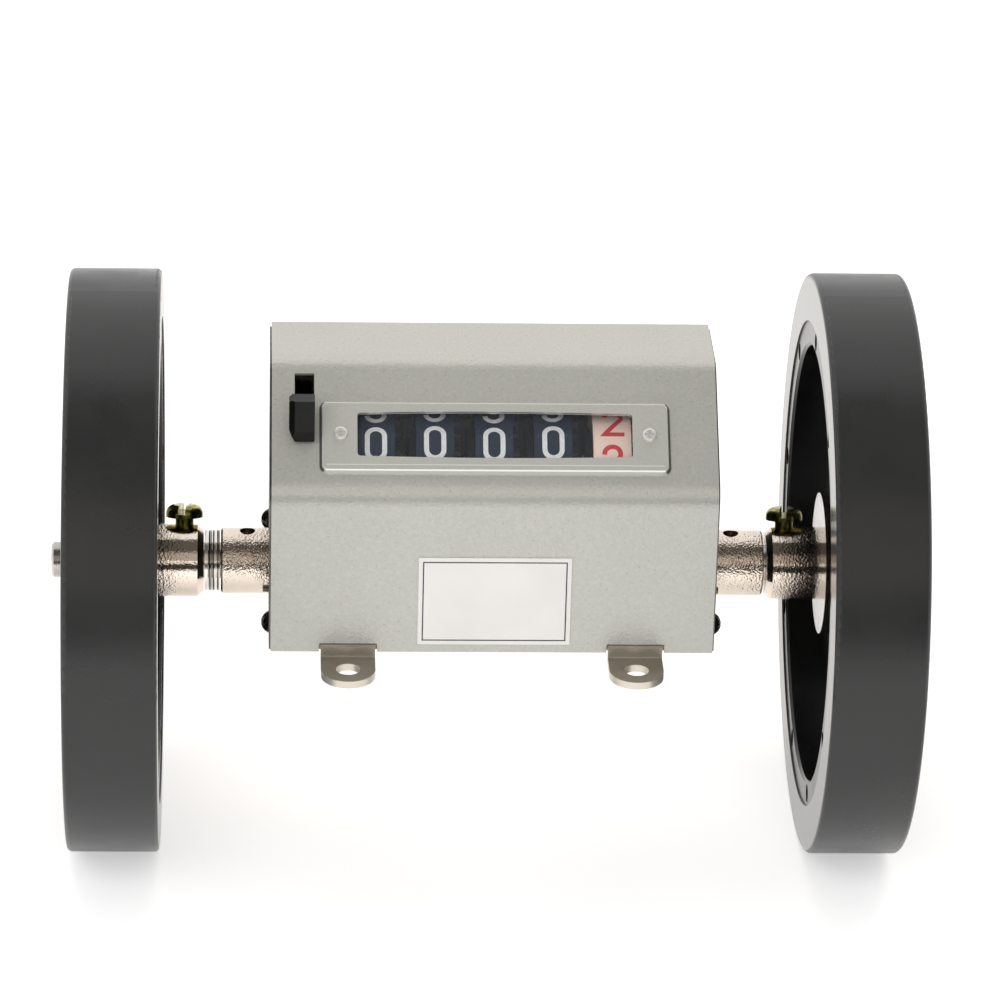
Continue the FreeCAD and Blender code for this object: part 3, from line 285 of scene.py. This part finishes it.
def washer_steel():
    """A stack of thin washers in bands across the axle, from nearly black to bright: painted
    reflection of the dark and bright stripes on their rims.
    """
    s = Shader("washer_steel", Metallic=1.0)
    reflection_bands = s.noise(1.0, 1, 0.5, s.scaled(2300, 25, 25))
    # Painted reflection: bands of nearly black and bright colour across the stack.
    s.colour(s.ramp(reflection_bands, [
        (0.38, (0.035, 0.032, 0.028)),
        (0.47, (0.30, 0.28, 0.25)),
        (0.56, (0.92, 0.87, 0.80)),
    ]))
    s.rough(reflection_bands, 0.10, 0.30)
    s.bump(reflection_bands, 0.02 * MM)
    return s.mat


def foot_metal():
    """Dull plated strip whose cut edges are bare and bright."""
    edge_top = 1.35 * MM        # the strip's upright cut edges lie below here
    s = Shader("foot_metal", Metallic=0.50, IOR=1.5)
    cloud = s.noise(220, 3, 0.6)
    skin = s.ramp(cloud, [(0.3, (0.330, 0.292, 0.232)), (0.7, (0.410, 0.365, 0.298))])
    low = s.math("LESS_THAN", s.along((0, 0, 1)), edge_top)
    upright = s.math("LESS_THAN", s.math("ABSOLUTE", s.facing((0, 0, 1))), 0.5)
    ends = s.math("GREATER_THAN", s.sideways(), 0.7)
    cut = s.math("MAXIMUM", s.math("MULTIPLY", low, upright), ends)
    s.colour(s.mix(cut, skin, (0.74, 0.68, 0.59)))
    s.rough(cloud, 0.24, 0.40)
    s.bump(s.noise(2200, 2), 0.03 * MM)
    return s.mat


def zinc():
    """Yellow-green passivated plating, stained in patches."""
    s = Shader("screw_zinc", Metallic=1.0)
    stain = s.noise(480, 3, 0.6)
    s.colour(s.ramp(stain, [
        (0.32, (0.105, 0.130, 0.045)),
        (0.50, (0.300, 0.285, 0.075)),
        (0.66, (0.640, 0.560, 0.210)),
    ]))
    s.rough(s.noise(1300, 2), 0.14, 0.30)
    s.bump(s.noise(1100, 3), 0.02 * MM)
    return s.mat


def tyre():
    """Dark rubber with light specks, glossier on its sides than on its tread."""
    s = Shader("tyre_rubber", IOR=1.5, Specular_IOR_Level=0.42)
    dust = s.noise(42, 4, 0.6)
    base = s.ramp(dust, [(0.3, (0.0215, 0.0215, 0.0216)), (0.7, (0.0280, 0.0280, 0.0281))])
    speck = s.ramp(s.noise(1700, 1), [(0.76, 0.0), (0.80, 1.0)])
    s.colour(s.mix(s.math("MULTIPLY", speck, 0.25), base, (0.070, 0.070, 0.070)))
    side = s.math("GREATER_THAN", s.sideways(), 0.9)
    keen = s.math("MULTIPLY_ADD", side, -0.9, 1.0)
    s.rough(s.math("MULTIPLY", dust, keen), 0.12, 0.50)
    s.bump(s.noise(3800, 2, 0.6), 0.012 * MM)
    s.bump(s.noise(1.0, 2, 0.5, s.scaled(900, 60, 60)), 0.01 * MM)
    return s.mat


def rim():
    s = Shader("rim_plastic", IOR=1.5, Specular_IOR_Level=0.3)
    flow = s.noise(120, 3)
    s.colour(s.ramp(flow, [(0.3, (0.0040, 0.0040, 0.0042)), (0.7, (0.0062, 0.0062, 0.0064))]))
    s.rough(flow, 0.16, 0.30)
    s.bump(s.noise(700, 3), 0.012 * MM)
    return s.mat


def plastic(name, dark, light, low, high, **sockets):
    s = Shader(name, IOR=1.5, **sockets)
    s.colour(s.ramp(s.noise(300, 3), [(0.3, dark), (0.7, light)]))
    s.rough(s.noise(800, 2), low, high)
    s.bump(s.noise(2400, 2), 0.012 * MM)
    return s.mat


def lens():
    s = Shader("lens_clear", Roughness=0.05, IOR=1.47, Alpha=0.04)
    s.colour(s.ramp(s.noise(120, 2), [(0.3, (0.32, 0.34, 0.37)), (0.7, (0.40, 0.42, 0.45))]))
    s.bump(s.noise(60, 1), 0.02 * MM)
    s.mat.surface_render_method = "BLENDED"
    return s.mat


def label():
    s = Shader("label_white", Roughness=0.35, IOR=1.5)
    paper = s.noise(90, 3)
    s.colour(s.ramp(paper, [(0.3, (0.820, 0.803, 0.765)), (0.7, (0.870, 0.853, 0.815))]))
    s.bump(s.noise(900, 2), 0.008 * MM)
    return s.mat


def ink(name, low, high):
    s = Shader(name, Roughness=0.45, IOR=1.5)
    s.colour(s.ramp(s.noise(1200, 3, 0.6), [(0.35, low), (0.65, high)]))
    s.bump(s.noise(2500, 2), 0.01 * MM)
    return s.mat


NICKEL = (0.83, 0.72, 0.62)
# Painted shade for the nickel faces that look along the axle.
NICKEL_SIDE_SHADE = (0.415, 0.405, 0.39)
EVEN_FINE, EVEN_SOFT = (900, 900, 900), (700, 700, 700)     # grains with no direction
UPRIGHT = (700, 700, 9000)                                  # grain that runs across z
materials = {
    "casing_paint": hammer_paint(),
    "nickel": nickel("nickel", NICKEL, 0.10, 0.16, 0.03 * MM, NICKEL_SIDE_SHADE),
    "plate_steel": steel("plate_steel", (0.16, 0.16, 0.155), 0.30, 0.45, UPRIGHT),
    "lens_clear": lens(),
    "screw_silver": steel("screw_silver", (0.88, 0.87, 0.84), 0.30, 0.46, EVEN_FINE, 0.55),
    "screw_dark": steel("screw_dark", (0.22, 0.205, 0.18), 0.20, 0.36, EVEN_FINE),
    "screw_zinc": zinc(),
    "label_white": label(),
    "shaft_steel": steel("shaft_steel", (0.66, 0.64, 0.61), 0.18, 0.32),
    "bush_bronze": steel("bush_bronze", (0.50, 0.36, 0.18), 0.30, 0.45),
    "gear_brass": steel("gear_brass", (0.70, 0.54, 0.26), 0.25, 0.40, EVEN_SOFT),
    "gear_plastic": plastic(
        "gear_plastic", (0.010, 0.010, 0.016), (0.018, 0.018, 0.026), 0.40, 0.55),
    "drum_dark": plastic("drum_dark", (0.020, 0.030, 0.050), (0.027, 0.038, 0.062), 0.08, 0.14),
    "drum_cream": plastic("drum_cream", (0.88, 0.66, 0.56), (0.94, 0.72, 0.62), 0.40, 0.55),
    "black_plastic": plastic(
        "black_plastic", (0.005, 0.005, 0.0045), (0.009, 0.009, 0.0085), 0.30, 0.44,
        Specular_IOR_Level=0.22),
    "rim_plastic": rim(),
    "tyre_rubber": tyre(),
}
slot_of = {part["node"]: part["material_slot"] for part in frame["record"]["subparts"]}
boss_nickel = nickel("boss_nickel", NICKEL, 0.12, 0.20, 0.11 * MM)
# A darker copy of gear_brass on the pinions, which sit in the gaps between the number wheels:
# painted shade.
brass_painted_shade = steel("brass_painted_shade", (0.20, 0.165, 0.11), 0.30, 0.45, EVEN_SOFT)
own_material = {
    "window_bezel": bezel_paint(),
    "base_plate": foot_metal(),
    "left_bearing_boss": boss_nickel,
    "right_bearing_boss": boss_nickel,
    "thrust_washers": washer_steel(),
    "hundreds_pinion": brass_painted_shade,
    "tens_pinion": brass_painted_shade,
    "units_pinion": brass_painted_shade,
    "tenths_pinion": brass_painted_shade,
}
for name, obj in nodes.items():
    mat = own_material.get(name, materials[slot_of[name]])
    if not obj.material_slots:
        obj.data.materials.append(mat)
    for slot in obj.material_slots:
        slot.material = mat


# ---- digits on the number wheels

def arc(cx, cy, rx, ry, a0, a1, steps=14):
    """Points on an ellipse from a0 to a1 degrees, counted from the right towards the top."""
    return [
        (cx + rx * math.cos(math.radians(a0 + (a1 - a0) * i / steps)),
         cy + ry * math.sin(math.radians(a0 + (a1 - a0) * i / steps)))
        for i in range(steps + 1)
    ]


# Centre lines of the digits, 3.1 wide and 6.1 high about (0, 0), in millimetres
HW, HH = 1.55, 3.05
GLYPHS = {
    0: [arc(0, HH - HW, HW, HW, 0, 180) + arc(0, HW - HH, HW, HW, 180, 360) + [(HW, HH - HW)]],
    1: [[(-0.9, 2.0), (0.1, HH), (0.1, -HH)]],
    2: [arc(0.15, HH - HW, HW, HW, 170, -25) + [(-1.35, -HH), (2.2, -HH)]],
    3: [arc(0, 1.5, 1.45, 1.55, 185, -80) + arc(0, -1.5, 1.55, 1.55, 80, -175)],
    4: [[(0.6, -HH), (0.6, HH), (-HW, -1.1), (HW + 0.1, -1.1)]],
    5: [[(HW - 0.1, HH), (-HW + 0.2, HH), (-HW + 0.1, 0.6)] + arc(0, -1.25, 1.55, 1.8, 130, -150)],
    6: [arc(0, HH - HW, HW, HW, 25, 180) + [(-HW, -1.35)] + arc(0, -1.35, HW, 1.7, 180, 540)],
    7: [[(-HW, HH), (HW, HH), (-0.4, -HH)]],
    8: [arc(0, 1.6, 1.3, 1.45, -90, 270) + arc(0, -1.5, 1.55, 1.55, 90, 450)],
    9: [arc(0, HW - HH, HW, HW, -178, 0) + [(HW, 1.35)] + arc(0, 1.35, HW, 1.7, 0, 360)],
}
DIGIT_TURN = 36                 # degrees from one digit to the next round a drum
RUN = 0.35                      # the longest straight run of a stroke on a drum
SAME_POINT, CLOSED_GAP = 1e-4, 0.02
MITRE_LIMIT = 0.45              # keeps the outer corner of a sharp turn short
EDGE_LIFT, MIDDLE_LIFT = 0.05, 0.03


def resampled(points, step):
    """The same line with no run longer than step."""
    out = [points[0]]
    for a, b in zip(points, points[1:]):
        n = max(1, math.ceil(math.dist(a, b) / step))
        out += [
            (a[0] + (b[0] - a[0]) * i / n, a[1] + (b[1] - a[1]) * i / n)
            for i in range(1, n + 1)
        ]
    return out


def stroke(points, half):
    """Left and right edges of a stroke along a line, mitred at its turns."""
    clean = [points[0]]
    for p in points[1:]:
        if math.dist(p, clean[-1]) > SAME_POINT:
            clean.append(p)
    points = clean
    closed = math.dist(points[0], points[-1]) < CLOSED_GAP
    pairs = []
    last = len(points) - 1
    for i, p in enumerate(points):
        a = points[i - 1] if i > 0 else (points[last - 1] if closed else points[0])
        b = points[i + 1] if i < last else (points[1] if closed else points[last])
        d0 = Vector((p[0] - a[0], p[1] - a[1]))
        d1 = Vector((b[0] - p[0], b[1] - p[1]))
        d0 = d0.normalized() if d0.length > 1e-6 else d1.normalized()
        d1 = d1.normalized() if d1.length > 1e-6 else d0
        mid = d0 + d1
        mid = mid.normalized() if mid.length > 1e-3 else d0
        wide = half / max(MITRE_LIMIT, mid.dot(d0))
        n = Vector((-mid.y, mid.x)) * wide
        pairs.append(((p[0] + n.x, p[1] + n.y), (p[0] - n.x, p[1] - n.y)))
    return pairs


def on_drum(x_middle, radius, u, v, angle):
    """A point of a digit, u across and v up, on a drum's surface about an angle from the top."""
    a = math.radians(angle) - v / DRUM_R
    return (
        (x_middle + u) * MM,
        (NUMBER_Y - radius * math.sin(a)) * MM,
        (NUMBER_Z + radius * math.cos(a)) * MM,
    )


def drum_digits(name, x_middle, zero_angle, half, tall, mat):
    """Ten digits printed on a drum as one thin raised mesh, with a groove down each stroke."""
    verts, faces = [], []
    for digit, lines in GLYPHS.items():
        angle = zero_angle + DIGIT_TURN * digit
        for line in lines:
            pairs = stroke(resampled([(u, v * tall) for u, v in line], RUN), half)
            first = len(verts)
            for left, right in pairs:
                mid = ((left[0] + right[0]) / 2, (left[1] + right[1]) / 2)
                rows = (
                    (left, 0.0), (left, EDGE_LIFT), (mid, MIDDLE_LIFT),
                    (right, EDGE_LIFT), (right, 0.0),
                )
                for (u, v), lift in rows:
                    verts.append(on_drum(x_middle, DRUM_R + lift, u, v, angle))
            for i in range(len(pairs) - 1):
                for k in range(4):
                    a = first + i * 5 + k
                    faces.append((a, a + 1, a + 6, a + 5))
    return mesh_object(name, verts, faces, mat)


white_ink = ink("digit_white", (0.74, 0.76, 0.75), (0.86, 0.87, 0.86))
red_ink = ink("digit_red", (0.56, 0.030, 0.045), (0.72, 0.060, 0.070))
WHEELS = ["thousands", "hundreds", "tens", "units", "tenths"]
# How far each white nought has stopped past the window's middle, in degrees
NUDGE = {"thousands": 0.6, "hundreds": -1.0, "tens": 0.4, "units": -1.6}
RED_THREE = 54.6                # where the red three has stopped, in degrees from the top
WHITE_HALF, WHITE_TALL = 0.44, 0.98
RED_HALF, RED_TALL = 0.42, 0.895
for i, wheel in enumerate(WHEELS):
    x = (i - 2) * DRUM_PITCH
    if wheel == "tenths":
        zero = RED_THREE - 3 * DIGIT_TURN
        piece = drum_digits("tenths_digits", x, zero, RED_HALF, RED_TALL, red_ink)
    else:
        zero = SHOWN_ANGLE + NUDGE[wheel]
        piece = drum_digits(wheel + "_digits", x, zero, WHITE_HALF, WHITE_TALL, white_ink)
    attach(piece, wheel + "_wheel")


# ---- label border

BORDER_INSET, BORDER_WIDTH, BORDER_LIFT = 0.75, 0.22, 0.02


def label_border():
    """The thin printed frame on the bare label."""
    lo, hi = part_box("label_plate")
    y = lo.y - BORDER_LIFT * MM
    verts = []
    for inset in (BORDER_INSET, BORDER_INSET + BORDER_WIDTH):
        d = inset * MM
        x0, x1, z0, z1 = lo.x + d, hi.x - d, lo.z + d, hi.z - d
        verts += [(x0, y, z0), (x1, y, z0), (x1, y, z1), (x0, y, z1)]
    faces = [(k, (k + 1) % 4, 4 + (k + 1) % 4, 4 + k) for k in range(4)]
    mat = ink("border_ink", (0.012, 0.012, 0.012), (0.030, 0.030, 0.030))
    return mesh_object("label_border", verts, faces, mat)


border = label_border()
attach(border, "housing")


# ---- floor and studio cards

def stage_sheet(name, corners, mat):
    """A flat sheet of the studio through four corners, in millimetres."""
    obj = mesh_object(name, [tuple(c * MM for c in p) for p in corners], [(0, 1, 2, 3)], mat)
    return obj


def bare_material(name):
    """A material with no shader yet, its node tree and the socket its surface goes to."""
    mat = bpy.data.materials.new(name)
    mat.use_nodes = True
    tree = mat.node_tree
    tree.nodes.clear()
    out = tree.nodes.new("ShaderNodeOutputMaterial")
    return mat, tree, out.inputs["Surface"]


def floor_material():
    """Pale floor that is a little brighter to the camera and to reflections than it is lit."""
    mat, t, surface = bare_material("floor_white")
    diffuse = t.nodes.new("ShaderNodeBsdfDiffuse")
    diffuse.inputs["Color"].default_value = (0.86, 0.86, 0.86, 1)
    glow = t.nodes.new("ShaderNodeEmission")
    rays = t.nodes.new("ShaderNodeLightPath").outputs
    mirrored = math_node(t, "MAXIMUM", rays["Is Glossy Ray"], rays["Is Transmission Ray"])
    faint = math_node(t, "MULTIPLY", mirrored, 0.40)
    level = math_node(t, "MULTIPLY_ADD", rays["Is Camera Ray"], 0.45, faint)
    t.links.new(level, glow.inputs["Strength"])
    add = t.nodes.new("ShaderNodeAddShader")
    t.links.new(diffuse.outputs[0], add.inputs[0])
    t.links.new(glow.outputs[0], add.inputs[1])
    t.links.new(add.outputs[0], surface)
    return mat


def card_material(name, shade):
    mat, t, surface = bare_material(name)
    glow = t.nodes.new("ShaderNodeEmission")
    glow.inputs["Color"].default_value = (*shade, 1)
    t.links.new(glow.outputs[0], surface)
    return mat


FLOOR_SIDE, FLOOR_NEAR, FLOOR_FAR = 1500, -420, 2200
stage_sheet("floor", [
    (-FLOOR_SIDE, FLOOR_NEAR, FLOOR_Z), (FLOOR_SIDE, FLOOR_NEAR, FLOOR_Z),
    (FLOOR_SIDE, FLOOR_FAR, FLOOR_Z), (-FLOOR_SIDE, FLOOR_FAR, FLOOR_Z),
], floor_material())


def pitch_card(name, low, high, reach, half, shade):
    """A card that covers pitches from low to high degrees above the level, seen from the axle.

    Only reflections show the cards. They give the polished metal its bands.
    """
    def place(pitch):
        a = math.radians(pitch)
        return -reach * math.cos(a), AXLE_Z + reach * math.sin(a)
    (y0, z0), (y1, z1) = place(low), place(high)
    corners = [(-half, y0, z0), (half, y0, z0), (half, y1, z1), (-half, y1, z1)]
    obj = stage_sheet(name, corners, card_material(name, shade))
    obj.visible_camera = False
    obj.visible_diffuse = False
    obj.visible_shadow = False
    obj.visible_transmission = False


pitch_card("card_overhead", 49, 94, 700, 700, (0.110, 0.104, 0.094))
pitch_card("card_tan", 14, 49, 700, 700, (0.48, 0.435, 0.385))
pitch_card("card_front", -12, 14, 700, 700, (0.046, 0.043, 0.039))
pitch_card("card_middle", 16, 42, 690, 95, (1.55, 1.53, 1.44))


# ---- lamps and world

def area_light(name, place, size_x, size_y, power, shade):
    """A rectangular lamp, in metres and watts, that looks at the casing and is not reflected."""
    data = bpy.data.lights.new(name, "AREA")
    data.shape = "RECTANGLE"
    data.size = size_x
    data.size_y = size_y
    data.energy = power
    data.color = shade
    obj = bpy.data.objects.new(name, data)
    bpy.context.scene.collection.objects.link(obj)
    obj.location = place
    aim = Vector((0, 0, 0.02))
    obj.rotation_euler = (aim - Vector(place)).to_track_quat("-Z", "Y").to_euler()
    obj.visible_glossy = False


area_light("light_front", (-0.25, -0.75, 0.55), 0.9, 0.5, 4.2, (1, 1, 1))
area_light("light_back", (0.1, 0.55, 0.85), 1.0, 0.6, 4.2, (1.0, 0.90, 0.78))

world = bpy.data.worlds.new("studio")
bpy.context.scene.world = world
world.use_nodes = True
tree = world.node_tree
tree.nodes.clear()
background = tree.nodes.new("ShaderNodeBackground")
background.inputs["Color"].default_value = (1, 1, 1, 1)
world_rays = tree.nodes.new("ShaderNodeLightPath").outputs
seen = math_node(tree, "MAXIMUM", world_rays["Is Camera Ray"], world_rays["Is Glossy Ray"])
seen = math_node(tree, "MAXIMUM", seen, world_rays["Is Transmission Ray"])
strength = tree.nodes.new("ShaderNodeMapRange")
strength.inputs["To Min"].default_value = 0.62      # as a light
strength.inputs["To Max"].default_value = 1.0       # where it is seen or mirrored
tree.links.new(seen, strength.inputs["Value"])
tree.links.new(strength.outputs["Result"], background.inputs["Strength"])
world_out = tree.nodes.new("ShaderNodeOutputWorld")
tree.links.new(background.outputs[0], world_out.inputs["Surface"])


# ---- camera, turned about the part by degrees, at a distance and an aim in millimetres

AZIMUTH, ELEVATION, ROLL = math.radians(-2.883), math.radians(25.0), math.radians(1.526)
DISTANCE, AIM_X, AIM_UP = 1009.77, -0.021, 12.947
camera_data = bpy.data.cameras.new("camera")
camera_data.lens = 202.93
camera_data.sensor_width = 36.0
camera_data.clip_start = 0.05
camera_data.clip_end = 20.0
camera = bpy.data.objects.new("camera", camera_data)
bpy.context.scene.collection.objects.link(camera)
back = Vector((
    math.sin(AZIMUTH) * math.cos(ELEVATION),
    -math.cos(AZIMUTH) * math.cos(ELEVATION),
    math.sin(ELEVATION),
))
level_right = Vector((math.cos(AZIMUTH), math.sin(AZIMUTH), 0))
level_up = back.cross(level_right)
cam_right = math.cos(ROLL) * level_right + math.sin(ROLL) * level_up
cam_up = -math.sin(ROLL) * level_right + math.cos(ROLL) * level_up
aim = Vector((AIM_X, 0, AXLE_Z)) + AIM_UP * level_up
turn = Matrix((cam_right, cam_up, back)).transposed().to_4x4()
camera.matrix_world = Matrix.Translation((aim + DISTANCE * back) * MM) @ turn
bpy.context.scene.camera = camera
bpy.context.scene.view_settings.view_transform = "Standard"
